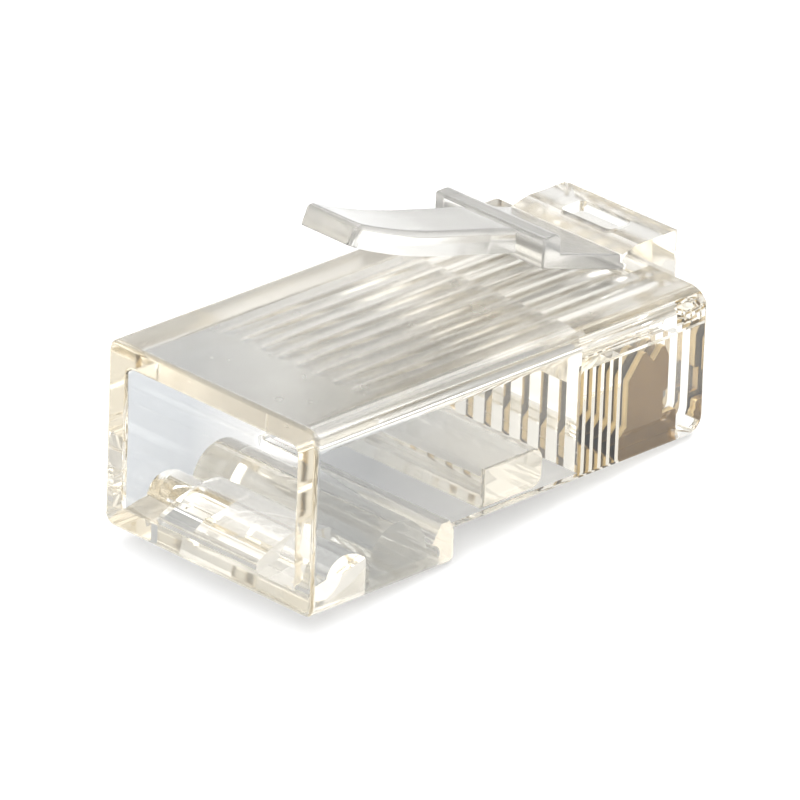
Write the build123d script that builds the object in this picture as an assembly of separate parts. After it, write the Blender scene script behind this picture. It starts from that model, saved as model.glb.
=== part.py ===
"""Eight-way modular plug for network cable, before it is crimped onto a cable.

The clear moulded housing takes the cable at its open rear (-Y) and plugs in nose first (+Y).
The latch is on top (+Z). The origin is under the centre of the whole plug, on its lowest face.
"""
from build123d import *
from math import cos, radians, sin, tan
import os

# Housing envelope, mm. Y is counted from the rear face until the last step.
BODY_WIDTH = 11.68
BODY_LENGTH = 21.6
BODY_HEIGHT = 8.0
REAR_LENGTH = 8.0
STEP_DEPTH = 1.55
ROOF_EDGE_RADIUS = 0.5
NOSE_TOP_SETBACK = 0.6
NOSE_TOP_DROP = 1.0
NOSE_BOTTOM_RADIUS = 0.8
NOSE_FRONT_RADIUS = 0.2
REAR_BOTTOM_RADIUS = 0.5
STEP_RADIUS = 0.25
RIM_RADIUS = 0.2
MOUTH_RADIUS = 0.15
SEAM_WIDTH = 0.1
SEAM_DEPTH = 0.05

# Cable space behind the nose
SIDE_WALL = 1.1
ROOF_WALL = 1.0
CAVITY_CORNER_RADIUS = 0.3
LIP_LENGTH = 3.4
LIP_WIDTH = 5.5
LIP_CREST = 2.8
LIP_HEIGHT = 2.15
LIP_REAR_HEIGHT = 1.35
LIP_FRONT_HEIGHT = 2.05
LIP_END_CREST = 2.2
LIP_END_HEIGHT = 1.95
LIP_END_LEDGE = 1.25
LIP_END_LEDGE_HEIGHT = 1.2
LIP_END_REAR_HEIGHT = 0.95
LIP_END_FRONT_HEIGHT = 1.45
CROSSBAR_LENGTH = 1.0
CROSSBAR_HEIGHT = 1.65

# Conductor channels and contact slots in the nose
CONTACT_COUNT = 8
CONTACT_PITCH = 1.016
NOSE_BLOCK_LENGTH = 6.6
NOSE_BLOCK_LEAD_IN = 0.5
CHANNEL_WIDTH = 0.84
CHANNEL_FLOOR = 5.7
CHANNEL_HEIGHT = 1.1
CHANNEL_END_WALL = 0.9
GROOVE_LENGTH = 10.5
GROOVE_DEPTH = 0.2

# Contact blades
CONTACT_THICKNESS = 0.32
CONTACT_LENGTH = 3.25
CONTACT_SETBACK = 0.55
CONTACT_PROUD = 0.15
FOOT_HEIGHT = 1.0
FOOT_REAR_HEIGHT = 0.6
NOTCH_HEIGHT = 0.98
NOTCH_DEPTH = 0.8
BLADE_FRONT_STEP = 0.55
BLADE_REAR_STEP = 0.43
PRONG_PITCH = 1.05
PRONG_DEPTH = 0.5
PRONG_TIP_LENGTH = 0.2
PRONG_FLANK = 0.35
PRONG_REAR_DROP = 1.0
SLOT_CLEARANCE = 0.04
CONTACT_TRAVEL = 0.65
CONTACT_BITE = 0.3
CONTACT_RADIUS = 0.15

# Anchors that the crimping tool pushes in
REAR_WINDOW = 1.8
FRONT_WINDOW = 1.85
BAR_HEIGHT = 1.75
BAR_RADIUS = 0.6
BAR_EDGE_RADIUS = 0.15
ANCHOR_CLEARANCE = 0.06
ANCHOR_HEIGHT = 2.45
ANCHOR_REAR_HEIGHT = 1.35
ANCHOR_GAP = 0.3
ANCHOR_HINGE_RADIUS = 0.4
ANCHOR_NECK_DEG = 66.0

# Latch: its root stands on the nose, and the lever sweeps back over the roof
ROOT_WIDTH = 6.2
ROOT_LENGTH = 3.3
ROOT_OVERHANG = 1.1
ROOT_RISE = 1.12
ROOT_FRONT_DEPTH = 2.0
ROOT_FRONT_SLANT = 0.6
ROOT_CORNER_RADIUS = 0.3
POCKET_WIDTH = 2.8
POCKET_LENGTH = 1.3
POCKET_DEPTH = 0.45
POCKET_MARGIN = 0.1
POCKET_RADIUS = 0.25
ROOT_SLOPE_LENGTH = 0.9
LEVER_THICKNESS = 0.66
LEVER_WIDTH = 6.1
LEVER_ROOT_GAP = 0.23
LEVER_RISE_DEG = 16.7
LEVER_EDGE_RADIUS = 0.1
HINGE_RADIUS = 0.15
HINGE_CLEARANCE = 0.06
WING_REACH = 4.43
WING_LENGTH = 1.0
WING_STEP = 0.63
WING_RADIUS = 0.45
WING_EDGE_RADIUS = 0.15
TAIL_WIDTH = 3.0
TAIL_DROP = 0.1
TAIL_THICKNESS = 1.0
TAIL_TIP_THICKNESS = 0.95
TAIL_SLOPE_DEG = 14.3
TAIL_STRAIGHT = 4.0
TAIL_BEND_LENGTH = 5.15
TAIL_TIP_SLOPE_DEG = 25.0
TAIL_CORNER_RADIUS = 0.35
TAIL_EDGE_RADIUS = 0.25

# How far a cut runs past the face that it opens, and into the space that it joins.
# An edge is picked when it lies this near to a place.
PAST = 1.0
INTO = 0.01
NEAR = 0.01

# Places that several sub-parts share
half_width = BODY_WIDTH / 2
cavity_half = half_width - SIDE_WALL
ceiling = BODY_HEIGHT - ROOF_WALL
nose_block_rear = BODY_LENGTH - NOSE_BLOCK_LENGTH
crossbar_rear = REAR_LENGTH - CROSSBAR_LENGTH
contact_front = BODY_LENGTH - CONTACT_SETBACK
contact_rear = contact_front - CONTACT_LENGTH
contact_base = STEP_DEPTH - CONTACT_PROUD
contact_top = CHANNEL_FLOOR + CONTACT_BITE - CONTACT_TRAVEL
bar_rear = REAR_LENGTH + REAR_WINDOW
bar_front = nose_block_rear - FRONT_WINDOW
root_front = BODY_LENGTH + ROOT_OVERHANG
hinge_y = root_front - ROOT_LENGTH
hinge_z = BODY_HEIGHT + LEVER_ROOT_GAP + HINGE_RADIUS / cos(radians(LEVER_RISE_DEG))
root_top = BODY_HEIGHT + ROOT_RISE
anchor_hinge_y = crossbar_rear
anchor_hinge_z = ANCHOR_HINGE_RADIUS
contact_places = [(i - (CONTACT_COUNT - 1) / 2) * CONTACT_PITCH for i in range(CONTACT_COUNT)]


def prism(outline, width):
    """Solid of a closed side outline, given as lines and arcs in Y and Z, centred on X."""
    face = make_face(Plane.YZ * outline)
    return extrude(face, width / 2, both=True)


def polygon(points, width):
    """Solid of a side outline with straight edges only."""
    return prism(Polyline(*points, close=True), width)


def block(x, y, z):
    """Box between the given pairs of X, Y and Z."""
    size = Box(x[1] - x[0], y[1] - y[0], z[1] - z[0])
    return Pos((x[0] + x[1]) / 2, (y[0] + y[1]) / 2, (z[0] + z[1]) / 2) * size


def edges_near(solid, axis, y, z):
    """Edges along an axis whose middle lies at the given Y and Z."""
    found = solid.edges().filter_by(axis)
    return [e for e in found if abs((e @ 0.5).Y - y) < NEAR and abs((e @ 0.5).Z - z) < NEAR]


def rounded(solid, axis, keep, radius):
    """Fillet the edges along an axis whose middle point passes the test."""
    return fillet([e for e in solid.edges().filter_by(axis) if keep(e @ 0.5)], radius)


def housing_blank():
    """Outside of the housing: a deeper rear section and the nose."""
    outline = [
        (0, 0), (REAR_LENGTH, 0), (REAR_LENGTH, STEP_DEPTH), (BODY_LENGTH, STEP_DEPTH),
        (BODY_LENGTH, BODY_HEIGHT - NOSE_TOP_DROP), (BODY_LENGTH - NOSE_TOP_SETBACK, BODY_HEIGHT),
        (0, BODY_HEIGHT),
    ]
    blank = polygon(outline, BODY_WIDTH)
    blank = fillet(edges_near(blank, Axis.X, BODY_LENGTH, STEP_DEPTH), NOSE_BOTTOM_RADIUS)
    blank = fillet(edges_near(blank, Axis.X, REAR_LENGTH, 0), STEP_RADIUS)
    blank = rounded(blank, Axis.Y, lambda p: p.Z > BODY_HEIGHT - NEAR, ROOF_EDGE_RADIUS)
    blank = rounded(blank, Axis.Y, lambda p: p.Z < NEAR, REAR_BOTTOM_RADIUS)
    blank = rounded(blank, Axis.Z, lambda p: p.Y > BODY_LENGTH - NEAR, NOSE_FRONT_RADIUS)
    rear_face = blank.faces().sort_by(Axis.Y)[0]
    return fillet(rear_face.edges(), RIM_RADIUS)


def lip():
    """Convex lead-in bar across the bottom of the mouth, lower and ledged at its two ends."""
    def hump(rear, crest, front, foot):
        """Side outline that rises from the rear point to the crest and falls to the front."""
        slopes = [TangentArc(crest, rear, tangent=(-1, 0)), TangentArc(crest, front, tangent=(1, 0))]
        return Curve() + slopes + [Polyline(front, (front[0], 0), *foot, rear)]

    middle = hump((0, LIP_REAR_HEIGHT), (LIP_CREST, LIP_HEIGHT), (LIP_LENGTH, LIP_FRONT_HEIGHT), [(0, 0)])
    ends = hump((LIP_END_LEDGE, LIP_END_LEDGE_HEIGHT), (LIP_END_CREST, LIP_END_HEIGHT),
                (LIP_LENGTH, LIP_END_FRONT_HEIGHT), [(0, 0), (0, LIP_END_REAR_HEIGHT)])
    return prism(middle, LIP_WIDTH) + prism(ends, BODY_WIDTH)


def cable_space():
    """Everything that is open behind the nose block, with the bars across its bottom left in."""
    space = block((-cavity_half, cavity_half), (-PAST, nose_block_rear), (-PAST, ceiling))
    space = fillet(
        [e for e in space.edges().filter_by(Axis.Y) if (e @ 0.5).Z > 0], CAVITY_CORNER_RADIUS)
    space -= lip()
    socket_radius = ANCHOR_HINGE_RADIUS + ANCHOR_CLEARANCE
    crossbar = polygon([
        (crossbar_rear, -PAST), (crossbar_rear, anchor_hinge_z + socket_radius),
        (crossbar_rear + CROSSBAR_LENGTH / 2, CROSSBAR_HEIGHT), (REAR_LENGTH, CROSSBAR_HEIGHT),
        (REAR_LENGTH, -PAST)], BODY_WIDTH)
    socket = Pos(0, anchor_hinge_y, anchor_hinge_z) * Rot(0, 90, 0) * Cylinder(
        socket_radius, BODY_WIDTH)
    return space - (crossbar - socket)


def lead_in():
    """Ramp that steers the conductors up into their channels."""
    rear = nose_block_rear - INTO
    front = nose_block_rear + NOSE_BLOCK_LEAD_IN
    middle = CHANNEL_FLOOR + CHANNEL_HEIGHT / 2
    outline = [(rear, middle), (rear, CHANNEL_FLOOR - NOSE_BLOCK_LEAD_IN), (front, CHANNEL_FLOOR),
               (front, middle)]
    return polygon(outline, (CONTACT_COUNT - 1) * CONTACT_PITCH + CHANNEL_WIDTH)


def round_topped(x, y, low, top):
    """Bar along Y, as wide as a channel, with a flat floor and a round top."""
    half = CHANNEL_WIDTH / 2
    straight = block((x - half, x + half), y, (low, top - half))
    crown = Pos(x, (y[0] + y[1]) / 2, top - half) * Rot(90, 0, 0) * Cylinder(half, y[1] - y[0])
    return straight + crown


def conductor_channel(x):
    """One channel in the nose block, and the shallow groove in the ceiling that leads up to it."""
    channel = round_topped(x, (nose_block_rear - INTO, BODY_LENGTH - CHANNEL_END_WALL), CHANNEL_FLOOR,
                           CHANNEL_FLOOR + CHANNEL_HEIGHT)
    rear = nose_block_rear - GROOVE_LENGTH
    crown = ceiling + GROOVE_DEPTH - CHANNEL_WIDTH / 2
    groove = Pos(x, (rear + nose_block_rear) / 2, crown) * Rot(90, 0, 0) * Cylinder(
        CHANNEL_WIDTH / 2, GROOVE_LENGTH)
    return channel + groove + Pos(x, rear, crown) * Sphere(CHANNEL_WIDTH / 2)


def contact_slot(x):
    """One slot for a contact blade, open at the bottom and the front of the nose."""
    half = CONTACT_THICKNESS / 2 + SLOT_CLEARANCE
    return block((x - half, x + half), (contact_rear - SLOT_CLEARANCE, BODY_LENGTH + PAST),
                 (STEP_DEPTH - PAST, CHANNEL_FLOOR + INTO))


def seam(x):
    """Fine parting step down the upper rim of the mouth."""
    across = (x - SEAM_WIDTH / 2, x + SEAM_WIDTH / 2)
    return block(across, (-PAST, SEAM_DEPTH), (ceiling - PAST, BODY_HEIGHT - RIM_RADIUS))


def plate_z(y, h):
    """Height of the lever's plate at Y, on the surface that lies h above its lower face."""
    rise = radians(LEVER_RISE_DEG)
    return BODY_HEIGHT + LEVER_ROOT_GAP + (hinge_y - y) * tan(rise) + h / cos(rise)


def latch_root():
    """Block on the nose that carries the lever, with a pocket in its top."""
    front_low = root_top - ROOT_FRONT_DEPTH
    root = polygon([
        (hinge_y, BODY_HEIGHT - ROOF_WALL / 2), (hinge_y, plate_z(hinge_y, LEVER_THICKNESS)),
        (hinge_y + ROOT_SLOPE_LENGTH, root_top), (root_front, root_top),
        (root_front, front_low), (BODY_LENGTH, front_low - ROOT_FRONT_SLANT),
        (BODY_LENGTH - ROOF_WALL, front_low - ROOT_FRONT_SLANT)], ROOT_WIDTH)
    front_top = edges_near(root, Axis.X, root_front, root_top)
    front_sides = [e for e in root.edges().filter_by(Axis.Z) if (e @ 0.5).Y > root_front - NEAR]
    root = fillet(front_top + front_sides, ROOT_CORNER_RADIUS)
    groove = Pos(0, hinge_y, hinge_z) * Rot(0, 90, 0) * Cylinder(
        HINGE_RADIUS + HINGE_CLEARANCE, ROOT_WIDTH + PAST)
    pocket_rear = hinge_y + ROOT_SLOPE_LENGTH + POCKET_MARGIN
    pocket = block((-POCKET_WIDTH / 2, POCKET_WIDTH / 2), (pocket_rear, pocket_rear + POCKET_LENGTH),
                   (root_top - POCKET_DEPTH, root_top + PAST))
    pocket = fillet(pocket.edges().filter_by(Axis.Z), POCKET_RADIUS)
    return root - groove - pocket


def on_mouth(point):
    """Whether a point lies on the edge of the mouth in the rear face, above the lip."""
    inside = abs(point.X) < cavity_half + NEAR and LIP_HEIGHT < point.Z < ceiling + NEAR
    return inside and abs(point.Y) < NEAR


def housing():
    """The clear housing with its cable space, channels, slots, bars and latch root."""
    body = housing_blank() - cable_space() - lead_in()
    rim = [e for e in body.edges() if on_mouth(e @ 0.5)]
    body = fillet(rim, MOUTH_RADIUS)
    for x in contact_places:
        body -= conductor_channel(x) + contact_slot(x)
    for side in (-1, 1):
        body -= seam(side * LEVER_WIDTH / 2)
    return body + latch_root()


def on_lever_side(point):
    """Whether a point lies on the outline of the lever's side faces, behind its knuckle."""
    return abs(point.X) > LEVER_WIDTH / 2 - NEAR and point.Y < hinge_y - HINGE_RADIUS - NEAR


def latch_lever():
    """Sprung lever: a thin plate, the bar of locking wings and the narrower tail."""
    rear = hinge_y - WING_REACH
    front = rear + WING_LENGTH
    end = hinge_y - HINGE_CLEARANCE
    plate = polygon([
        (end, plate_z(end, 0)), (end, plate_z(end, LEVER_THICKNESS)),
        (rear, plate_z(rear, LEVER_THICKNESS)), (rear, plate_z(rear, 0))], LEVER_WIDTH)
    knuckle = Pos(0, hinge_y, hinge_z) * Rot(0, 90, 0) * Cylinder(HINGE_RADIUS, LEVER_WIDTH)
    wing_top = plate_z(rear, LEVER_THICKNESS) + WING_STEP
    wings = polygon([
        (rear, plate_z(rear, LEVER_THICKNESS / 2)), (rear, wing_top), (front, wing_top),
        (front, plate_z(front, LEVER_THICKNESS / 2))], LEVER_WIDTH)
    wings = fillet(edges_near(wings, Axis.X, front, wing_top), WING_RADIUS)
    wings = fillet(edges_near(wings, Axis.X, rear, wing_top), WING_EDGE_RADIUS)
    lever = plate + knuckle + wings
    lever = fillet([e for e in lever.edges() if on_lever_side(e @ 0.5)], LEVER_EDGE_RADIUS)
    return lever + lever_tail((rear, wing_top - TAIL_DROP))


def lever_tail(start):
    """Tail that a thumb presses: straight behind the wings, then curving up to its tip."""
    slope = radians(TAIL_SLOPE_DEG)
    back = (-cos(slope), sin(slope))
    tip = radians(TAIL_TIP_SLOPE_DEG)
    mean = radians((TAIL_SLOPE_DEG + TAIL_TIP_SLOPE_DEG) / 2)

    def point(s, h):
        """Point at a distance s behind the wings and h above the straight top."""
        return (start[0] - s * cos(slope) + h * sin(slope), start[1] + s * sin(slope) + h * cos(slope))

    root = -WING_LENGTH + WING_RADIUS
    bend = point(TAIL_STRAIGHT, 0)
    end = (bend[0] - TAIL_BEND_LENGTH * cos(mean), bend[1] + TAIL_BEND_LENGTH * sin(mean))
    low_bend = point(TAIL_STRAIGHT, -TAIL_THICKNESS)
    low_end = (end[0] - TAIL_TIP_THICKNESS * sin(tip), end[1] - TAIL_TIP_THICKNESS * cos(tip))
    outline = Curve() + [
        Line(point(root, 0), bend), TangentArc(bend, end, tangent=back), Line(end, low_end),
        TangentArc(low_bend, low_end, tangent=back), Line(low_bend, point(root, -TAIL_THICKNESS)),
        Line(point(root, -TAIL_THICKNESS), point(root, 0))]
    tail = prism(outline, TAIL_WIDTH)
    corners = [e for e in tail.edges() if abs((e @ 0.5).X) > TAIL_WIDTH / 2 - NEAR
               and (e @ 0.5).Y < end[0] + NEAR and e.length < TAIL_THICKNESS]
    tail = fillet(corners, TAIL_CORNER_RADIUS)
    top_faces = [f for f in tail.faces() if f.normal_at().Z > cos(2 * tip)]
    rims = [e for f in top_faces for e in f.edges()]
    rims = [e for e in rims if abs((e @ 0.5).X) > TAIL_WIDTH / 4 or (e @ 0.5).Y < end[0] + NEAR]
    return fillet(rims, TAIL_EDGE_RADIUS)


def jacket_anchor():
    """Wedge that grips the cable jacket once it is pushed in about its front edge."""
    rear = LIP_LENGTH + ANCHOR_GAP
    crest = (rear + anchor_hinge_y) / 2
    neck_y = anchor_hinge_y - ANCHOR_HINGE_RADIUS * cos(radians(ANCHOR_NECK_DEG))
    neck_z = anchor_hinge_z + ANCHOR_HINGE_RADIUS * sin(radians(ANCHOR_NECK_DEG))
    shoulder = (neck_y - ANCHOR_GAP / 2, neck_z + ANCHOR_GAP)
    shape = prism(Curve() + [
        Polyline((neck_y, 0), (rear, 0), (rear, ANCHOR_REAR_HEIGHT)),
        ThreePointArc((rear, ANCHOR_REAR_HEIGHT), (crest, ANCHOR_HEIGHT), shoulder),
        Polyline(shoulder, (neck_y, neck_z), (neck_y, 0))],
        2 * (cavity_half - ANCHOR_CLEARANCE))
    knuckle = Pos(0, anchor_hinge_y, anchor_hinge_z) * Rot(0, 90, 0) * Cylinder(
        ANCHOR_HINGE_RADIUS, 2 * (cavity_half - ANCHOR_CLEARANCE))
    return shape + knuckle


def conductor_anchor():
    """Bar that clamps the conductors once it is pushed in between the side walls."""
    reach = cavity_half - ANCHOR_CLEARANCE
    bar = block((-reach, reach), (bar_rear, bar_front), (STEP_DEPTH, STEP_DEPTH + BAR_HEIGHT))
    front_edges = edges_near(bar, Axis.X, bar_front, STEP_DEPTH + BAR_HEIGHT)
    front_edges += edges_near(bar, Axis.X, bar_front, STEP_DEPTH)
    bar = fillet(front_edges, BAR_RADIUS)
    ends = [e for f in bar.faces().filter_by(Axis.X) for e in f.edges()]
    return fillet(ends, BAR_EDGE_RADIUS)


def contact(x):
    """Stamped contact blade: foot, notched front edge and two prongs that pierce the conductor."""
    def blunt_tip(y):
        """Flat end of the prong whose middle is at Y, from front to rear."""
        return [(y + PRONG_TIP_LENGTH / 2, contact_top), (y - PRONG_TIP_LENGTH / 2, contact_top)]

    foot_top = contact_base + FOOT_HEIGHT
    notch_top = foot_top + NOTCH_HEIGHT
    notch_rear = contact_front - NOTCH_DEPTH
    blade_front = contact_front - BLADE_FRONT_STEP
    blade_rear = contact_rear + BLADE_REAR_STEP
    front_tip = blade_front - PRONG_FLANK
    rear_tip = front_tip - PRONG_PITCH
    valley = ((front_tip + rear_tip) / 2, contact_top - PRONG_DEPTH)
    blade = polygon([
        (contact_rear, contact_base), (contact_front, contact_base), (contact_front, foot_top),
        (notch_rear, foot_top), (notch_rear, notch_top), (blade_front, notch_top),
        (blade_front, contact_top - PRONG_DEPTH), *blunt_tip(front_tip), valley, *blunt_tip(rear_tip),
        (blade_rear, contact_top - PRONG_REAR_DROP), (blade_rear, foot_top),
        (contact_rear, contact_base + FOOT_REAR_HEIGHT)], CONTACT_THICKNESS)
    corners = edges_near(blade, Axis.X, contact_front, foot_top)
    corners += edges_near(blade, Axis.X, contact_front, contact_base)
    corners += edges_near(blade, Axis.X, blade_front, notch_top)
    return Pos(x, 0, 0) * fillet(corners, CONTACT_RADIUS)


def main():
    """Build every sub-part and write each to its own file."""
    nodes = {
        "housing": housing(),
        "latch_lever": latch_lever(),
        "jacket_anchor": jacket_anchor(),
        "conductor_anchor": conductor_anchor(),
    }
    for number, x in enumerate(contact_places, start=1):
        nodes[f"contact_{number}"] = contact(x)
    centre = Pos(0, -root_front / 2, 0)
    os.makedirs("parts", exist_ok=True)
    for name, solid in nodes.items():
        export_step(centre * solid, f"parts/{name}.step")


main()
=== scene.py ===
"""Studio view of a clear eight-way network plug, standing nose down on a pale table."""
import bpy
from math import asin, atan2, cos, radians, sin
from mathutils import Matrix, Vector


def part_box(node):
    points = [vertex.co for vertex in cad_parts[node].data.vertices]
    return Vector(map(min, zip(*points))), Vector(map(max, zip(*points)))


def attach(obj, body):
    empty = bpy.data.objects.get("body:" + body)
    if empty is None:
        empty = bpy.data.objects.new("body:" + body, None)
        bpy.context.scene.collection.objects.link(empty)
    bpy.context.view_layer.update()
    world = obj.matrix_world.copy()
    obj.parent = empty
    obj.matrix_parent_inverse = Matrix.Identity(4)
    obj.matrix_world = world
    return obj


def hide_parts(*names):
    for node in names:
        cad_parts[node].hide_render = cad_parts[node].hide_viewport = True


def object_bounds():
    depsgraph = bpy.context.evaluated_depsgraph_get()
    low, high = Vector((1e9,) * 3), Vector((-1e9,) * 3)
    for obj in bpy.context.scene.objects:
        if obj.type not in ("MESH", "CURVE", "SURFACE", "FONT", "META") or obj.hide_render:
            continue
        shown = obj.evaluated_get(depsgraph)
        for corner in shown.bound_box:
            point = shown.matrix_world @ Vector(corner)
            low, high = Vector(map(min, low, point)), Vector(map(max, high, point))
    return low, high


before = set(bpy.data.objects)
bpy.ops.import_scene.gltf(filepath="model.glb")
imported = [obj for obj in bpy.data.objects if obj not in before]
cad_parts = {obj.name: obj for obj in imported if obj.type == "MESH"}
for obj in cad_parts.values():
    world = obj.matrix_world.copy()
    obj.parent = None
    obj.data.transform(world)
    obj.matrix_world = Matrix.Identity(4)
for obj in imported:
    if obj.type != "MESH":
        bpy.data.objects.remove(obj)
cad_low, cad_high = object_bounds()

MM = 0.001
CONTACTS = [f"contact_{number}" for number in range(1, 9)]

# The photograph's view: a long lens from behind and to the right, turned a little about its axis
VIEW_AZIMUTH = radians(44.577)
VIEW_ELEVATION = radians(24.857)
VIEW_ROLL = radians(2.146)
VIEW_DISTANCE = 476.2 * MM
VIEW_TARGET = Vector((0.18, -1.173, 4.349)) * MM
VIEW_CLIP_START = 0.01
PIXELS_PER_METRE = 25473.0
IMAGE_WIDTH = 800
SENSOR_WIDTH = 36.0

# Surroundings, and the square soft lights, which look at the plug: place, side and power
SURROUNDINGS = (0.9, 0.905, 0.91, 1)
LIGHTS = {
    "overhead": {"place": (-0.08, 0.14, 0.5), "size": 0.55, "power": 2.8},
    "front": {"place": (0.2, -0.26, 0.34), "size": 0.3, "power": 0.8},
}
LIGHT_BOUNCES = 32

# What the plug stands on: the rounded lower edge of its step and the feet of the contacts
STEP_FROM_REAR = 8.0 * MM
STEP_EDGE_RADIUS = 0.25 * MM

# Table top
FLOOR_GAP = 0.01 * MM
FLOOR_RADIUS = 0.25
FLOOR_SIDES = 128
FLOOR_ROUGHNESS = 0.6
FLOOR_GLOW = 0.33
FLOOR_GREYS = ((0.63, 0.63, 0.63, 1), (0.64, 0.64, 0.64, 1))
FLOOR_GRAIN = 40.0

# Copies of the solids: the smallest gap between two points of a mesh that are not the same point, the
# turns that count as flat, smooth and sharp, and the broken edge of a contact
MERGE = 0.0005 * MM
FLAT_TURN = radians(0.5)
SMOOTH_TURN = radians(35)
SHARP_TURN = radians(40)
BLADE_EDGE = 0.02 * MM

# Frosted roof with painted shade: how far the latch root stands above it, how thick it is, and how the
# frost and the painted shade come in with height and with how level a face is
ROOT_RISE = 1.12 * MM
ROOF_WALL = 1.0 * MM
FROST_AND_SHADE_RISE = 0.5 * MM
FROST_AND_SHADE_LEVEL = (0.3, 0.9)

# Inner walls with painted shade: half the width of the cable space, how far from there a face still
# counts as its wall, how sharply and with what facing that ends, how deep in the mouth the painted
# shade is full, and its fade
CAVITY_HALF = 4.74 * MM
WALL_SLACK = 0.2 * MM
WALL_EDGE = 0.05 * MM
WALL_FACING = (0.8, 0.95)
WALL_SHADE_DEPTH = 3.5 * MM
WALL_SHADE_FADE = 8.0 * MM

# Clear polycarbonate: colours of the surface, of the depth, and the patterns in cycles per metre
PLASTIC_IOR = 1.585
CLEAR_TINTS = ((0.975, 0.97, 0.95, 1), (0.995, 0.99, 0.97, 1))
# Painted shade: a darker grey on the roof's level faces, laid over its frost
ROOF_PAINTED_SHADE = (0.7, 0.695, 0.675, 1)
# Painted shade: a dark blue-grey laid on the inner side walls at the mouth
MOUTH_PAINTED_SHADE = (0.32, 0.345, 0.38, 1)
PALE_TINT = (0.97, 0.965, 0.945, 1)
DEPTH_TINT = (0.95, 0.82, 0.52, 1)
DEPTH_DENSITY = 30.0
SMUDGES = 900.0
SMUDGE_ROUGHENING = (0.7, 1.3)
FLOW_LINES = 500.0
FLOW_STRETCH = (1.0, 0.12, 1.0)
FLOW_HEIGHT = 0.06 * MM
FLOW_STRENGTH = (0.05, 0.22)

# Contact metal: pale cut edges, rolled faces painted dark brown as painted shade, and the worn gold
# that shows through in patches
CUT_GOLD = (0.88, 0.68, 0.36, 1)
# Painted shade: the dark brown of the faces that point sideways
SHADED_FACE_BROWN = (0.145, 0.073, 0.006, 1)
WORN_GOLD = (0.8, 0.58, 0.26, 1)
WORN_SHARE = 0.14
TARNISH = 1200.0
METAL_ROUGHNESS = (0.28, 0.4)


def choose(piece):
    """Leaves one object selected and active."""
    bpy.ops.object.select_all(action="DESELECT")
    piece.select_set(True)
    bpy.context.view_layer.objects.active = piece


def new_material(name):
    """A fresh node material, with its shader, its output and its tree."""
    material = bpy.data.materials.new(name)
    material.use_nodes = True
    tree = material.node_tree
    return material, tree.nodes["Principled BSDF"], tree.nodes["Material Output"], tree


def object_noise(tree, scale, detail, stretch=(1, 1, 1)):
    """Noise fixed to the piece, in cycles per metre, stretched along its axes."""
    place = tree.nodes.new("ShaderNodeTexCoord")
    mapping = tree.nodes.new("ShaderNodeMapping")
    mapping.inputs["Scale"].default_value = stretch
    noise = tree.nodes.new("ShaderNodeTexNoise")
    noise.inputs["Scale"].default_value = scale
    noise.inputs["Detail"].default_value = detail
    tree.links.new(place.outputs["Object"], mapping.inputs["Vector"])
    tree.links.new(mapping.outputs["Vector"], noise.inputs["Vector"])
    return noise.outputs["Fac"]


def ranged(tree, source, low, high, start=0.0, end=1.0):
    """A value that goes from low to high as the source goes from start to end."""
    mapped = tree.nodes.new("ShaderNodeMapRange")
    mapped.inputs["From Min"].default_value = start
    mapped.inputs["From Max"].default_value = end
    mapped.inputs["To Min"].default_value = low
    mapped.inputs["To Max"].default_value = high
    tree.links.new(source, mapped.inputs["Value"])
    return mapped.outputs["Result"]


def fade(tree, source, none, full):
    """A value that goes from 0 to 1 as the source goes from none to full."""
    return ranged(tree, source, 0.0, 1.0, start=none, end=full)


def maths(tree, operation, first, second=None):
    """One arithmetic step on one value or two."""
    step = tree.nodes.new("ShaderNodeMath")
    step.operation = operation
    tree.links.new(first, step.inputs[0])
    if second:
        tree.links.new(second, step.inputs[1])
    return step.outputs["Value"]


def split_axes(tree, output):
    """The X, Y and Z of a point's place on the piece, or of the way that it faces."""
    place = tree.nodes.new("ShaderNodeTexCoord")
    split = tree.nodes.new("ShaderNodeSeparateXYZ")
    tree.links.new(place.outputs[output], split.inputs["Vector"])
    return split.outputs


def two_tone(tree, source, first, last):
    """A colour that goes from the first to the last as the source goes from 0 to 1."""
    ramp = tree.nodes.new("ShaderNodeValToRGB")
    ramp.color_ramp.elements[0].color = first
    ramp.color_ramp.elements[1].color = last
    tree.links.new(source, ramp.inputs["Fac"])
    return ramp.outputs["Color"]


def mixed(tree, mask, colour, other):
    """A colour that gives way to another where the mask is 1."""
    blend = tree.nodes.new("ShaderNodeMix")
    blend.data_type = "RGBA"
    blend.inputs["B"].default_value = other
    tree.links.new(mask, blend.inputs["Factor"])
    tree.links.new(colour, blend.inputs["A"])
    return blend.outputs["Result"]


def roof_mask(tree):
    """A value of 1 on the level faces of the housing's roof and above it, and 0 elsewhere."""
    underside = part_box("housing")[1].z - ROOT_RISE - ROOF_WALL
    above = fade(tree, split_axes(tree, "Object")["Z"], underside - FROST_AND_SHADE_RISE, underside)
    level = maths(tree, "ABSOLUTE", split_axes(tree, "Normal")["Z"])
    return maths(tree, "MULTIPLY", above, fade(tree, level, *FROST_AND_SHADE_LEVEL))


def mouth_shade_mask(tree):
    """Where the painted shade lies: a value of 1 on the inner side walls at the mouth, which falls to 0
    towards the nose.
    """
    low, high = CAVITY_HALF - WALL_SLACK, CAVITY_HALF + WALL_SLACK
    end = cad_low.y + WALL_SHADE_DEPTH
    place = split_axes(tree, "Object")
    reach = maths(tree, "ABSOLUTE", place["X"])
    upright = maths(tree, "ABSOLUTE", split_axes(tree, "Normal")["X"])
    between = maths(tree, "MULTIPLY", fade(tree, reach, low - WALL_EDGE, low),
                    fade(tree, reach, high + WALL_EDGE, high))
    wall = maths(tree, "MULTIPLY", between, fade(tree, upright, *WALL_FACING))
    return maths(tree, "MULTIPLY", wall, fade(tree, place["Y"], end + WALL_SHADE_FADE, end))


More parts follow.
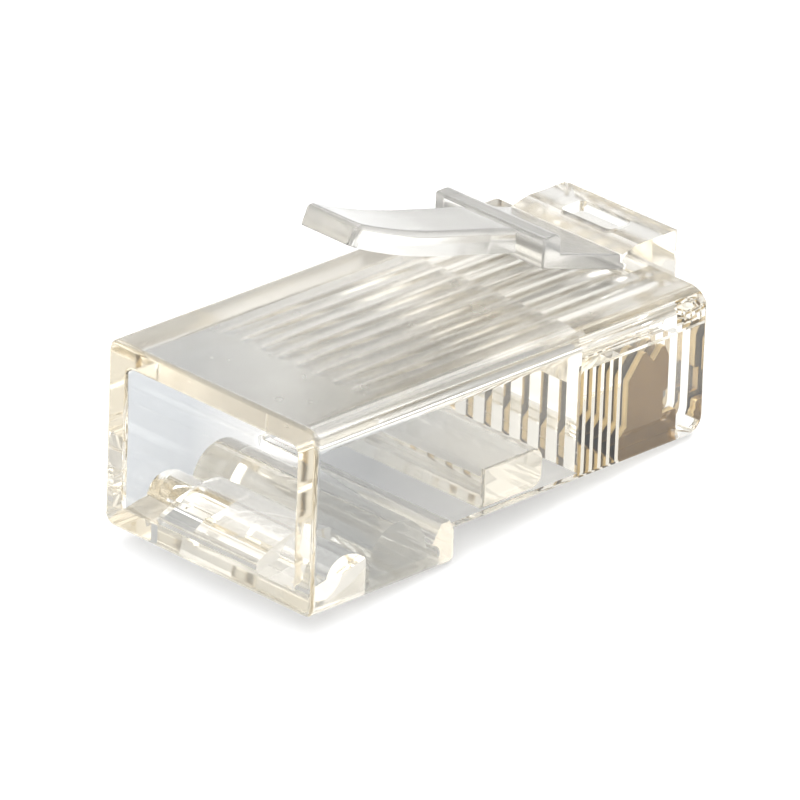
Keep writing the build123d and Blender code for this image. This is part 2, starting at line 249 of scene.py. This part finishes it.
def clear_polycarbonate(name, clarity, roughness, roof_roughness, mouth_shade_tint=PALE_TINT):
    """Moulded clear plastic: warm in its depth, with painted shade at its mouth, and hazier on its
    roof, which also has painted shade.
    """
    material, plastic, output, tree = new_material(name)
    plastic.inputs["IOR"].default_value = PLASTIC_IOR
    plastic.inputs["Transmission Weight"].default_value = clarity
    smudge = object_noise(tree, SMUDGES, detail=1.0)
    roof = roof_mask(tree)
    rough = maths(tree, "MULTIPLY", ranged(tree, smudge, *SMUDGE_ROUGHENING),
                  ranged(tree, roof, roughness, roof_roughness))
    tree.links.new(rough, plastic.inputs["Roughness"])
    # Painted shade: the roof's level faces are tinted darker grey
    roof_shaded = mixed(tree, roof, two_tone(tree, smudge, *CLEAR_TINTS), ROOF_PAINTED_SHADE)
    # Painted shade: the inner walls at the mouth take the darker tint
    tree.links.new(mixed(tree, mouth_shade_mask(tree), roof_shaded, mouth_shade_tint), plastic.inputs["Base Color"])
    flow = object_noise(tree, FLOW_LINES, detail=1.0, stretch=FLOW_STRETCH)
    bump = tree.nodes.new("ShaderNodeBump")
    bump.inputs["Distance"].default_value = FLOW_HEIGHT
    tree.links.new(ranged(tree, roof, *FLOW_STRENGTH), bump.inputs["Strength"])
    tree.links.new(flow, bump.inputs["Height"])
    tree.links.new(bump.outputs["Normal"], plastic.inputs["Normal"])
    depth = tree.nodes.new("ShaderNodeVolumeAbsorption")
    depth.inputs["Color"].default_value = DEPTH_TINT
    depth.inputs["Density"].default_value = DEPTH_DENSITY
    tree.links.new(depth.outputs["Volume"], output.inputs["Volume"])
    return material


def plated_bronze():
    """Stamped contact metal: rolled faces painted dark brown as painted shade, and paler plated cut
    edges.
    """
    material, metal, _, tree = new_material("plated_bronze")
    metal.inputs["Metallic"].default_value = 1.0
    side = maths(tree, "ABSOLUTE", split_axes(tree, "Normal")["X"])
    tarnish = object_noise(tree, TARNISH, detail=2.0)
    worn = ranged(tree, tarnish, 0.0, WORN_SHARE)
    # Painted shade: the faces that point sideways are dark brown, the other faces paler gold
    bronze = mixed(tree, worn, two_tone(tree, side, CUT_GOLD, SHADED_FACE_BROWN), WORN_GOLD)
    tree.links.new(bronze, metal.inputs["Base Color"])
    tree.links.new(ranged(tree, tarnish, *METAL_ROUGHNESS), metal.inputs["Roughness"])
    return material


def finished_copy(node, body, material, name, edge=0):
    """A node's solid with its points merged, its sharp edges broken and its curves smooth."""
    piece = bpy.data.objects.new(name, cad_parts[node].data.copy())
    bpy.context.scene.collection.objects.link(piece)
    choose(piece)
    bpy.ops.object.mode_set(mode="EDIT")
    bpy.ops.mesh.select_all(action="SELECT")
    bpy.ops.mesh.remove_doubles(threshold=MERGE)
    bpy.ops.mesh.dissolve_limited(angle_limit=FLAT_TURN)
    bpy.ops.object.mode_set(mode="OBJECT")
    if edge:
        rounding = piece.modifiers.new("edges", "BEVEL")
        rounding.width = edge
        rounding.segments = 2
        rounding.limit_method = "ANGLE"
        rounding.angle_limit = SHARP_TURN
        rounding.use_clamp_overlap = False
        bpy.ops.object.modifier_apply(modifier="edges")
    bpy.ops.object.shade_smooth_by_angle(angle=SMOOTH_TURN)
    weights = piece.modifiers.new("weights", "WEIGHTED_NORMAL")
    weights.keep_sharp = True
    bpy.ops.object.modifier_apply(modifier="weights")
    piece.data.materials.clear()
    piece.data.materials.append(material)
    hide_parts(node)
    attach(piece, body)


def plug():
    """Every piece of the plug."""
    # The housing carries the painted shade at its mouth; the latch and anchors keep the pale tint there
    housing = clear_polycarbonate("housing_plastic", clarity=1.0, roughness=0.03, roof_roughness=0.24,
                                  mouth_shade_tint=MOUTH_PAINTED_SHADE)
    latch = clear_polycarbonate("latch_plastic", clarity=0.82, roughness=0.14, roof_roughness=0.2)
    anchor = clear_polycarbonate("anchor_plastic", clarity=0.96, roughness=0.05, roof_roughness=0.05)
    bronze = plated_bronze()
    finished_copy("housing", "housing", housing, "housing_moulding")
    finished_copy("latch_lever", "latch", latch, "latch_moulding")
    finished_copy("jacket_anchor", "jacket_anchor", anchor, "jacket_wedge")
    finished_copy("conductor_anchor", "conductor_anchor", anchor, "conductor_bar")
    for contact in CONTACTS:
        blade = contact.replace("contact", "blade")
        finished_copy(contact, contact, bronze, blade, BLADE_EDGE)


def floor():
    """Pale table top, tilted so that the plug stands on its step edge and its contacts."""
    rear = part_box("housing")[0].y
    low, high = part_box("contact_1")
    centre = Vector((0, rear + STEP_FROM_REAR - STEP_EDGE_RADIUS, STEP_EDGE_RADIUS))
    foot = Vector((0, high.y, low.z))
    reach = foot - centre
    slope = atan2(reach.z, reach.y) + asin(STEP_EDGE_RADIUS / reach.length)
    bpy.ops.object.select_all(action="DESELECT")
    bpy.ops.mesh.primitive_circle_add(vertices=FLOOR_SIDES, radius=FLOOR_RADIUS, fill_type="NGON")
    table = bpy.context.object
    table.name = "table"
    under_foot = Matrix.Translation((0, foot.y, foot.z - FLOOR_GAP))
    table.data.transform(under_foot @ Matrix.Rotation(slope, 4, "X"))
    material, paint, _, tree = new_material("pale_table")
    paint.inputs["Roughness"].default_value = FLOOR_ROUGHNESS
    paint.inputs["Emission Color"].default_value = (1, 1, 1, 1)
    paint.inputs["Emission Strength"].default_value = FLOOR_GLOW
    grain = object_noise(tree, FLOOR_GRAIN, detail=2.0)
    tree.links.new(two_tone(tree, grain, *FLOOR_GREYS), paint.inputs["Base Color"])
    table.data.materials.append(material)


def area_light(name, place, size, power):
    """A soft square light that looks at the plug."""
    light = bpy.data.lights.new(name, "AREA")
    light.size = size
    light.energy = power
    lamp = bpy.data.objects.new(name, light)
    lamp.location = place
    lamp.rotation_euler = (-Vector(place)).to_track_quat("-Z", "Y").to_euler()
    bpy.context.scene.collection.objects.link(lamp)


def studio():
    """Pale surroundings, a large soft light overhead and a smaller one that looks into the mouth."""
    scene = bpy.context.scene
    scene.world = bpy.data.worlds.new("studio")
    scene.world.use_nodes = True
    background = scene.world.node_tree.nodes["Background"]
    background.inputs["Color"].default_value = SURROUNDINGS
    background.inputs["Strength"].default_value = 1.0
    for name, light in LIGHTS.items():
        area_light(name, **light)
    scene.view_settings.view_transform = "Standard"
    scene.cycles.max_bounces = LIGHT_BOUNCES
    scene.cycles.transmission_bounces = LIGHT_BOUNCES
    scene.cycles.glossy_bounces = LIGHT_BOUNCES


def camera():
    """The photograph's camera."""
    data = bpy.data.cameras.new("view")
    data.sensor_width = SENSOR_WIDTH
    data.lens = SENSOR_WIDTH * PIXELS_PER_METRE * VIEW_DISTANCE / IMAGE_WIDTH
    data.clip_start = VIEW_CLIP_START
    eye = bpy.data.objects.new("view", data)
    back = Vector((sin(VIEW_AZIMUTH) * cos(VIEW_ELEVATION), -cos(VIEW_AZIMUTH) * cos(VIEW_ELEVATION),
                   sin(VIEW_ELEVATION)))
    level = Vector((cos(VIEW_AZIMUTH), sin(VIEW_AZIMUTH), 0))
    upright = back.cross(level)
    right = cos(VIEW_ROLL) * level + sin(VIEW_ROLL) * upright
    up = cos(VIEW_ROLL) * upright - sin(VIEW_ROLL) * level
    turn = Matrix((right, up, back)).transposed()
    eye.matrix_world = Matrix.Translation(VIEW_TARGET + back * VIEW_DISTANCE) @ turn.to_4x4()
    bpy.context.scene.collection.objects.link(eye)
    bpy.context.scene.camera = eye


plug()
floor()
studio()
camera()
